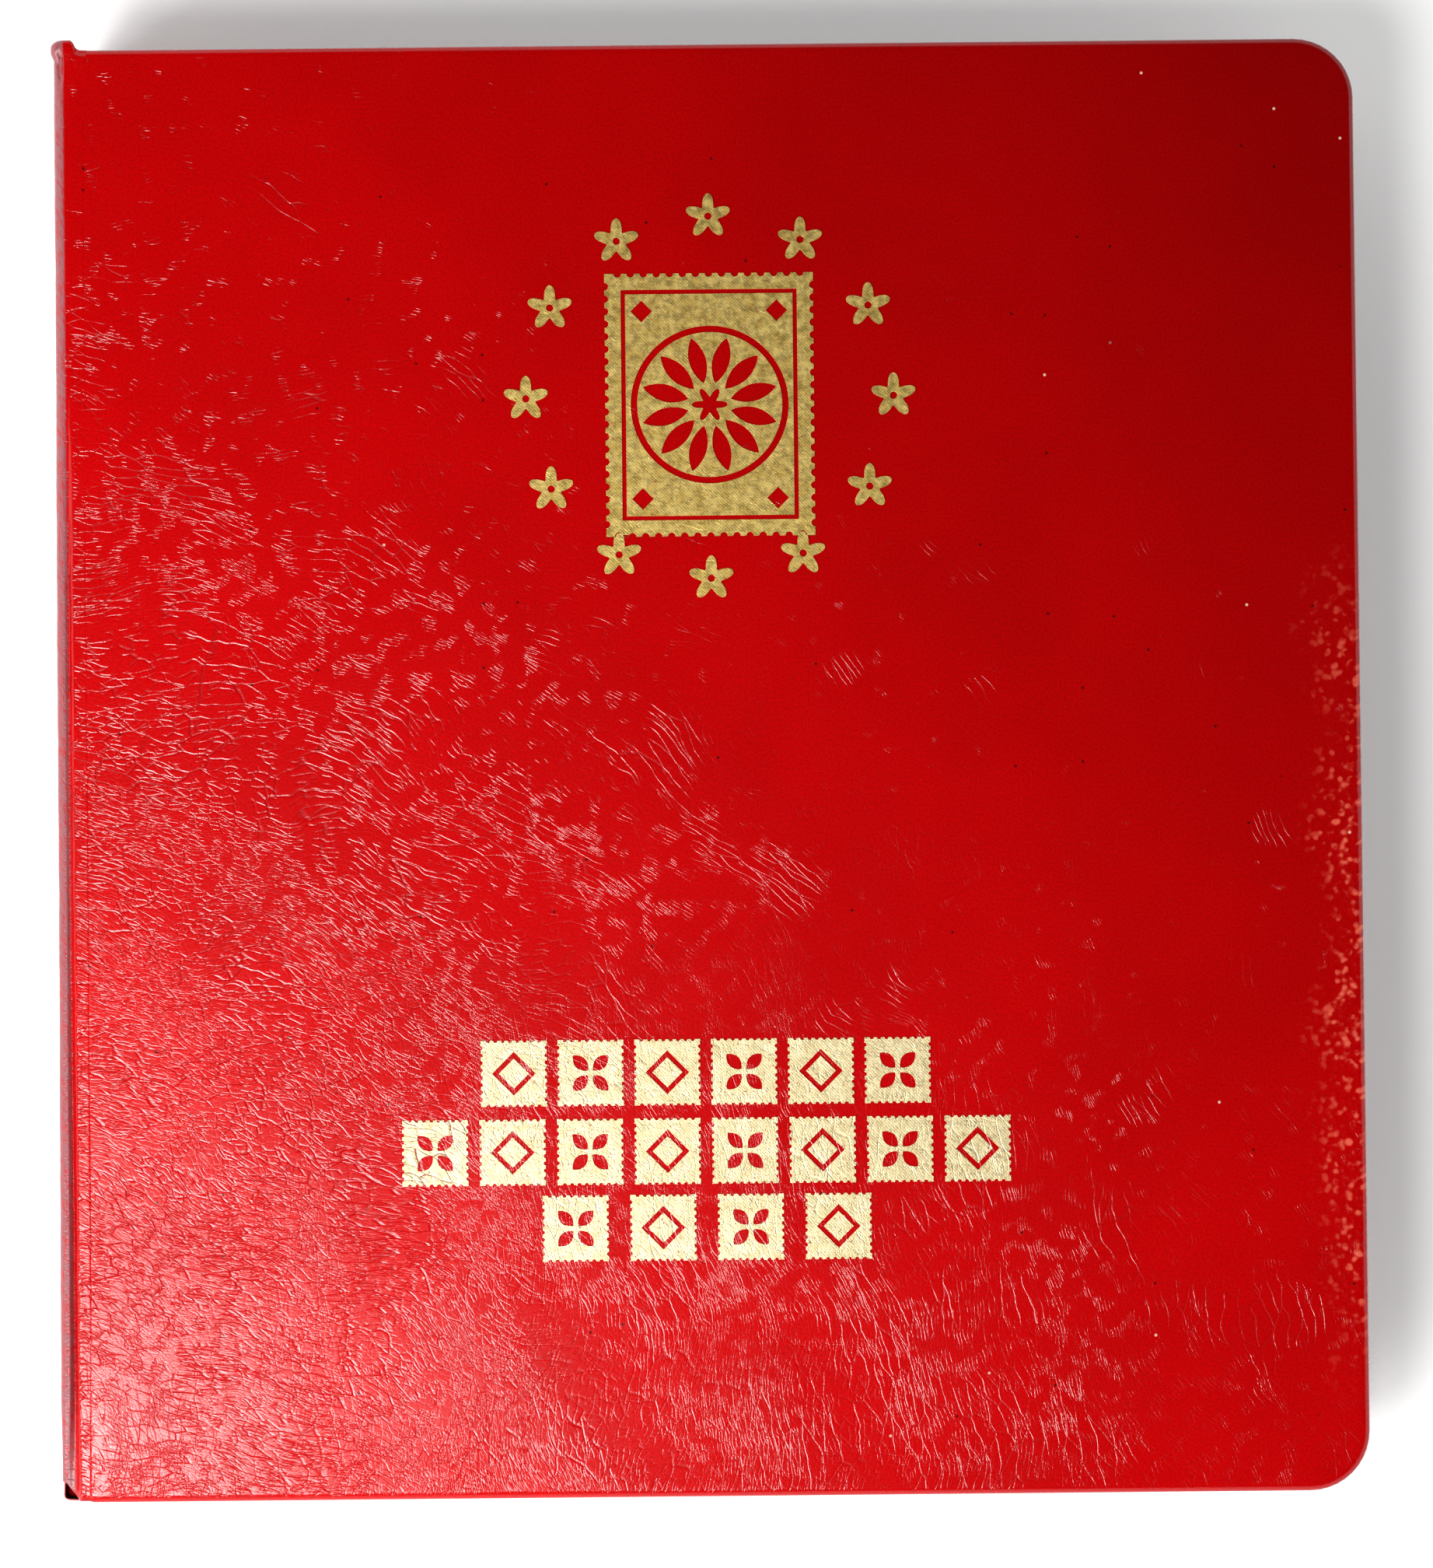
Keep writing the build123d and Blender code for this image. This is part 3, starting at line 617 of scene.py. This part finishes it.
def joint(name, front):
    across, along = 44, 220
    ys = [Y0 - 2.0 + (Y1 - Y0 + 2.0) * j / along for j in range(along + 1)]
    ys += [146.2, 146.6, 146.85]
    ys = sorted(set(round(v, 3) for v in ys))
    rows_out, rows_in = [], []
    for y in ys:
        line = spline(joint_line(y), across)
        o, i_ = [], []
        for q, (x, z) in enumerate(line):
            s = q / across
            a = line[min(q + 1, across)]
            b = line[max(q - 1, 0)]
            tx, tz = a[0] - b[0], a[1] - b[1]
            ln = math.hypot(tx, tz) or 1.0
            nx, nz = -tz / ln, tx / ln                     # outward, away from the pages
            # ends of the cloth: the head end is turned over in a roll, the foot end is cut slanting
            head = Y1 - 2.1 * smooth((s - 0.64) / 0.26)
            foot = -143.0 - 3.9 * smooth((s - 0.25) / 0.46)
            yy = min(max(y, foot), head)
            roll = 0.0
            fold = 1.0 - 0.9 * smooth((s - 0.78) / 0.10)     # feathered where it lies over the board
            if yy > head - 3.4:
                t = (yy - (head - 1.7)) / 1.7
                roll = (0.60 + 0.35 * math.sin(s * math.pi)) * math.sqrt(max(0.0, 1 - t * t))
                if t > 0:
                    roll -= 1.0 * (1 - math.sqrt(max(0.0, 1 - t * t)))
            pit = -1.5 * math.exp(-((s - 0.36) / 0.05) ** 2) * smooth((yy - 137.5) / 5.0) * (1 - smooth((yy - 143.2) / 0.9))
            rip = 0.10 * noise.noise(Vector((s * 3.0, yy / 7.0, 5.0 if front else 9.0))) + 0.05 * noise.noise(Vector((s * 9.0, yy / 2.2, 1.0)))
            rip *= (math.sin(s * math.pi) ** 0.5 if 0 < s < 1 else 0.0) * (1.0 - 0.96 * smooth((s - 0.62) / 0.10))
            off = roll + pit + rip
            zz = z + nz * off
            if zz > 49.75:      # the roll is pressed flat by whatever lies on it
                zz = 49.75 + 0.28 * math.tanh((zz - 49.75) / 0.28)
            o.append((max(x + nx * off, APEX - 0.65), yy, zz))
            i_.append((x - nx * 0.5 * fold, yy, z - nz * 0.5 * fold))
        rows_out.append(o)
        rows_in.append(i_)
    verts, faces = [], []
    w = across + 1
    for r in rows_out:
        verts += r
    base = len(verts)
    for r in rows_in:
        verts += r
    n = len(ys)
    for j in range(n - 1):
        for q in range(across):
            a = j * w + q
            faces.append((a, a + 1, a + w + 1, a + w))
            a += base
            faces.append((a, a + w, a + w + 1, a + 1))
        for q in (0, across):
            a = j * w + q
            faces.append((a, a + w, a + w + base, a + base))
    for j in (0, n - 1):
        for q in range(across):
            a = j * w + q
            faces.append((a, a + 1, a + 1 + base, a + base))
    if not front:
        verts = [(x, y, 2 * MID - z) for x, y, z in verts]
    ob = make(name, [(x * MM, y * MM, z * MM) for x, y, z in verts], faces, M_JOINT)
    import bmesh
    bm = bmesh.new()
    bm.from_mesh(ob.data)
    bmesh.ops.remove_doubles(bm, verts=bm.verts, dist=0.00001)
    bmesh.ops.dissolve_degenerate(bm, dist=0.00001, edges=bm.edges)
    bmesh.ops.recalc_face_normals(bm, faces=bm.faces)
    bm.to_mesh(ob.data)
    bm.free()
    return ob


front_joint = joint("front_joint", True)
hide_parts("front_joint_cloth")
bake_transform(front_joint)
back_joint = joint("back_joint", False)
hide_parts("back_joint_cloth")
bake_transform(back_joint)


# ------------------------------------------------------------------ hollow end of the spine at the foot
def tail_cap():
    """A thin wall of turned-over cloth round the hollow at the foot of the spine; the inner faces and floor of the
    hollow are black card, as painted shade.
    """
    plan = [(-130.9, -141.0), (-131.15, -143.0), (-131.25, -145.6), (-131.05, -146.5), (-130.3, -146.85), (-129.1, -146.9), (-127.9, -146.9), (-127.2, -146.75), (-127.05, -146.2), (-127.05, -144.6)]
    tops = [43.5, 43.4, 43.3, 43.2, 43.2, 43.3, 43.4, 43.6, 43.8, 43.9]
    line = spline([(p[0], p[1]) for p in plan], 54)
    high = spline([(t, 0.0) for t in tops], 54)
    v, f, m = [], [], []
    half = 0.17
    prof = []
    for q in range(9):
        a = math.pi * q / 8
        prof.append((half * math.cos(a), half * math.sin(a)))
    cols = [(half, -2.6)] + prof + [(-half, -2.6)]
    k = len(cols)
    for i, (x, y) in enumerate(line):
        a, b = line[max(i - 1, 0)], line[min(i + 1, len(line) - 1)]
        tx, ty = b[0] - a[0], b[1] - a[1]
        ln = math.hypot(tx, ty) or 1.0
        ox, oy = ty / ln, -tx / ln
        wob = 0.05 * noise.noise(Vector((i / 6.0, 3.0, 1.0)))
        for o, dz in cols:
            v.append((x + ox * (o + wob), y + oy * (o + wob), high[i][0] + dz))
    for i in range(len(line) - 1):
        for c in range(k - 1):
            f.append((i * k + c, i * k + c + 1, (i + 1) * k + c + 1, (i + 1) * k + c))
            # the inner faces of the wall take the black card material: painted shade in the hollow
            m.append(1 if c >= 6 else 0)
    f.append(tuple(i * k + k - 1 for i in range(len(line))))        # floor of the hollow, black card as painted shade
    m.append(1)
    f.append(tuple(i * k for i in range(len(line) - 1, -1, -1)))
    m.append(0)
    for i in (0, len(line) - 1):
        f.append(tuple(i * k + c for c in range(k)))
        m.append(0)
    return make("tail_cap", [(x * MM, y * MM, z * MM) for x, y, z in v], f, [M_SPINE, M_BLACK_CARD_AND_SHADE], face_mat=m)


cap = tail_cap()
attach(cap, "spine")


# ------------------------------------------------------------------ foil
def foil(name, contours, z0, z1, mat):
    cu = bpy.data.curves.new(name, "CURVE")
    cu.dimensions = "2D"
    cu.fill_mode = "BOTH"
    cu.extrude = (z1 - z0) / 2 * MM - 0.000012
    cu.bevel_depth = 0.000012
    cu.bevel_resolution = 1
    for pts in contours:
        sp_ = cu.splines.new("POLY")
        sp_.points.add(len(pts) - 1)
        for q, (x, y) in enumerate(pts):
            sp_.points[q].co = (x * MM, y * MM, 0, 1)
        sp_.use_cyclic_u = True
    tmp = bpy.data.objects.new(name + "_tmp", cu)
    bpy.context.scene.collection.objects.link(tmp)
    bpy.context.view_layer.update()
    me = bpy.data.meshes.new_from_object(tmp.evaluated_get(bpy.context.evaluated_depsgraph_get()))
    bpy.data.objects.remove(tmp)
    bpy.data.curves.remove(cu)
    me.name = name
    for v in me.vertices:
        v.co.z += (z0 + z1) / 2 * MM
    me.materials.clear()
    me.materials.append(mat)
    ob = bpy.data.objects.new(name, me)
    bpy.context.scene.collection.objects.link(ob)
    return ob


def floret(cx, cy, r, petals=5, turn=90.0):
    pts = []
    for q in range(120):
        a = math.radians(q * 3)
        rr = r * (0.72 + 0.28 * math.cos(petals * (a - math.radians(turn))))
        pts.append((cx + rr * math.cos(a), cy + rr * math.sin(a)))
    return pts


def circle(cx, cy, r, k=36):
    return [(cx + r * math.cos(2 * math.pi * q / k), cy + r * math.sin(2 * math.pi * q / k)) for q in range(k)][::-1]


def perforated(cx, cy, w, h, hole, pitch):
    """Outline of a stamp: half-round notches cut along straight sides."""
    pts = []
    nx, ny = max(3, round(w / pitch)), max(3, round(h / pitch))
    corners = [(-w / 2, -h / 2, 1, 0, nx, w), (w / 2, -h / 2, 0, 1, ny, h), (w / 2, h / 2, -1, 0, nx, w), (-w / 2, h / 2, 0, -1, ny, h)]
    for x, y, dx, dy, n, length in corners:
        step = length / n
        inx, iny = -dy, dx
        for k in range(n):
            if k:
                c = k * step
                for q in range(7):
                    a = math.pi * q / 6
                    s, d = c - hole * math.cos(a), hole * math.sin(a)
                    pts.append((cx + x + dx * s + inx * d, cy + y + dy * s + iny * d))
            else:
                pts.append((cx + x, cy + y))
    return pts


def rect(cx, cy, w, h):
    return [(cx - w / 2, cy - h / 2), (cx - w / 2, cy + h / 2), (cx + w / 2, cy + h / 2), (cx + w / 2, cy - h / 2)]


def lozenge(cx, cy, w, h):
    return [(cx - w / 2, cy), (cx, cy + h / 2), (cx + w / 2, cy), (cx, cy - h / 2)]


def leaf(cx, cy, r0, r1, half, a):
    """A pointed leaf standing on a ray from the centre."""
    pts = []
    for sgn in (1, -1):
        rng = range(0, 13) if sgn > 0 else range(12, -1, -1)
        for q in rng:
            t = q / 12
            rr = r0 + (r1 - r0) * t
            wv = sgn * half * math.sin(math.pi * t) ** 0.8 if 0 < t < 1 else 0.0
            ca, sa = math.cos(a), math.sin(a)
            pts.append((cx + rr * ca - wv * sa, cy + rr * sa + wv * ca))
    return pts


EX, EY = (ELO[0] + EHI[0]) / 2, (ELO[1] + EHI[1]) / 2
em = []
for k in range(12):
    a = math.radians(90 + 30 * k)
    fx, fy = EX + 37.0 * math.cos(a), EY + 36.5 * math.sin(a)
    em.append(floret(fx, fy, 4.6, 5, 90.0))
    em.append(circle(fx, fy, 0.75, 16))
CX, CY = EX, EY - 1.5
em.append(perforated(CX, CY, 42.0, 53.0, 0.78, 2.55))
em.append(rect(CX, CY, 35.5, 46.5))
em.append(rect(CX, CY, 33.7, 44.7)[::-1])
em.append(circle(CX, CY, 15.9, 96))
em.append(circle(CX, CY, 14.6, 96)[::-1])
for k in range(12):
    em.append(leaf(CX, CY, 4.4, 13.9, 1.75, math.radians(30 * k + 15)))
em.append(floret(CX, CY, 3.6, 6, 0.0))
for sx in (-1, 1):
    for sy in (-1, 1):
        qx, qy = CX + sx * 13.6, CY + sy * 18.9
        em.append(lozenge(qx, qy, 4.4, 4.4)[::-1])
emblem = foil("emblem_foil", em, 49.9, 50.07, M_EMBLEM)
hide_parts("foil_emblem")
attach(emblem, "front_cover")

pn = []
ROWS = ((6, -62.0, 90.2), (8, -77.8, 122.0), (4, -93.1, 65.9))
for n_, y_, width in ROWS:
    for k in range(n_):
        x_ = -1.4 + (k - (n_ - 1) / 2) * (width - 13.2) / (n_ - 1)
        pn.append(perforated(x_, y_, 13.2, 13.2, 0.42, 1.47))
        kind = (k + n_ // 2) % 2
        if kind:
            pn.append(lozenge(x_, y_, 8.8, 8.8))
            pn.append(lozenge(x_, y_, 6.0, 6.0)[::-1])
        else:
            for j in range(4):
                pn.append(leaf(x_, y_, 0.7, 5.0, 1.25, math.radians(45 + 90 * j)))
panels = foil("panel_foil", pn, 49.9, 50.07, M_PANEL_PAINTED_LIT)
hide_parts("foil_panels")
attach(panels, "front_cover")

# ------------------------------------------------------------------ envelopes and their stamps
ENV_W, ENV_H = 165.0, 92.0


def envelope_shape(cx, cy, z_in, out):
    """Envelope lying against the card: z_in is its inner face, out is +1 or -1. Returns points, faces and face coordinates."""
    v, f, n_top = slab(-ENV_W / 2 + 0.2, ENV_W / 2 - 0.2, -ENV_H / 2 + 0.2, ENV_H / 2 - 0.2, (1.0,) * 4, 1.02, 0.38, 0.2, 6.0, 0.03, 22, 14, 2)
    pts, uv = [], []
    for x, y, d in v:
        if d < 0.5:
            bow = 0.05 * noise.noise(Vector((x / 30.0, y / 30.0, cx + cy * 0.3 + z_in)))
            flap = -0.10 * smooth((abs(x) / ENV_W * 2 * 0.62 - (0.40 - y / ENV_H)) * -14.0) * 0.0
            d = max(0.0, d + 0.05 + bow + flap)
        pts.append(((cx + x * out) * MM, (cy + y) * MM, (z_in + out * (1.04 - d)) * MM))
        uv.append(((x + ENV_W / 2) * MM, (y + ENV_H / 2) * MM))
    return pts, f, uv


def stamp_shape(cx, cy, z, out):
    o = perforated(0, 0, 27.0, 33.0, 0.45, 1.9)
    pts, uv, faces = [], [], []
    m = len(o)
    for dz in (0.0, 0.11):
        for x, y in o:
            pts.append(((cx + x * out) * MM, (cy + y) * MM, (z + out * dz) * MM))
            uv.append((x * MM, y * MM))
    faces.append(tuple(range(m)))
    faces.append(tuple(range(m, 2 * m)))
    for i in range(m):
        j = (i + 1) % m
        faces.append((i, j, m + j, m + i))
    return pts, faces, uv


for i in range(1, 10):
    lo, hi = mm_box(f"page_{i}_covers")
    clo, chi = mm_box(f"page_{i}_card")
    cx = (lo[0] + hi[0]) / 2
    zc = (clo[2] + chi[2]) / 2
    V, F, U = [], [], []
    SV, SF, SU, SM = [], [], [], []
    for out in (1, -1):
        for q, cy in enumerate((-63.0, 63.0)):
            z_in = zc + out * 0.5
            p, f, u = envelope_shape(cx, cy, z_in, out)
            b = len(V)
            V += p; U += u; F += [tuple(k + b for k in face) for face in f]
            p, f, u = stamp_shape(cx + out * 64.0, cy + 24.5, z_in + out * 1.0, out)
            b = len(SV)
            SV += p; SU += u; SF += [tuple(k + b for k in face) for face in f]
            SM += [(i + q + (0 if out > 0 else 2)) % 4] * len(f)
    env = outward(make(f"page_{i}_envelopes", V, F, M_ENV, uv=U))
    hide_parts(f"page_{i}_covers")
    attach(env, f"page_{i}")
    st = outward(make(f"page_{i}_stamps", SV, SF, M_STAMP, smooth=False, face_mat=SM, uv=SU))
    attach(st, f"page_{i}")


# ------------------------------------------------------------------ finishes on the CAD nodes that stay
def finish_node(node, mat, smooth_deg=None):
    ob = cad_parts[node]
    for s in ob.material_slots:
        s.material = mat
    if not ob.material_slots:
        ob.data.materials.append(mat)


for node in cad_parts:
    if node.endswith("_board"):
        finish_node(node, M_BOARD)
    elif node.endswith("_endpaper") or node == "spine_liner":
        finish_node(node, M_END)
    elif node.startswith("ring") or node.startswith("hinged") or node.startswith("lever"):
        finish_node(node, M_NICKEL)
    elif node.endswith("_strip") or node.endswith("_pocket"):
        finish_node(node, M_FILM)
    elif node.endswith("_card"):
        finish_node(node, M_BLACK_CARD_AND_SHADE)

# ------------------------------------------------------------------ stage, light, camera
floor = make("floor", [(-4, -4, -0.0002), (4, -4, -0.0002), (4, 4, -0.0002), (-4, 4, -0.0002)], [(0, 1, 2, 3)], floor_material("pale_floor"), smooth=False)


def area(name, loc, target, size, power, colour=(1, 1, 1), size_y=None, shape="RECTANGLE"):
    li = bpy.data.lights.new(name, "AREA")
    li.shape = shape
    li.size = size
    if shape == "RECTANGLE":
        li.size_y = size_y or size
    li.energy = power
    li.color = colour
    ob = bpy.data.objects.new(name, li)
    ob.location = loc
    ob.rotation_euler = (Vector(target) - Vector(loc)).to_track_quat("-Z", "Y").to_euler()
    bpy.context.scene.collection.objects.link(ob)
    return ob


area("key_softbox", (-0.350, -0.360, 1.25), (-0.06, -0.06, 0.05), 0.36, 7.4, shape="DISK")
area("side_softbox", (-0.90, -0.70, 0.75), (-0.02, -0.02, 0.0), 0.60, 9.0, size_y=0.60)

world = bpy.data.worlds.new("studio")
bpy.context.scene.world = world
world.use_nodes = True
wn = world.node_tree
wn.nodes.clear()
w_out = wn.nodes.new("ShaderNodeOutputWorld")
w_bg = wn.nodes.new("ShaderNodeBackground")
w_tc = wn.nodes.new("ShaderNodeTexCoord")
w_sep = wn.nodes.new("ShaderNodeSeparateXYZ")
w_rng = wn.nodes.new("ShaderNodeMapRange")
w_rng.interpolation_type = "SMOOTHSTEP"
wn.links.new(w_tc.outputs["Generated"], w_sep.inputs[0])
wn.links.new(w_sep.outputs[2], w_rng.inputs["Value"])
w_rng.inputs["From Min"].default_value = 0.62
w_rng.inputs["From Max"].default_value = 0.86
w_rng.inputs["To Min"].default_value = 1.25
w_rng.inputs["To Max"].default_value = 0.012
wn.links.new(w_rng.outputs[0], w_bg.inputs["Strength"])
w_bg.inputs["Color"].default_value = (1.0, 1.0, 1.0, 1)
wn.links.new(w_bg.outputs[0], w_out.inputs[0])

cam_data = bpy.data.cameras.new("camera")
cam_data.sensor_fit = "AUTO"
cam_data.sensor_width = 36.0
cam_data.lens = 131.54
cam_data.clip_start = 0.01
cam_data.clip_end = 50.0
cam = bpy.data.objects.new("camera", cam_data)
cam.location = (0.00101, -0.03562, 1.2)
cam.rotation_euler = (math.radians(1.561), 0.0, math.radians(-0.562))
bpy.context.scene.collection.objects.link(cam)
bpy.context.scene.camera = cam
bpy.context.scene.view_settings.view_transform = "Standard"
bpy.context.scene.view_settings.look = "Medium High Contrast"
bpy.context.scene.view_settings.exposure = 0.0
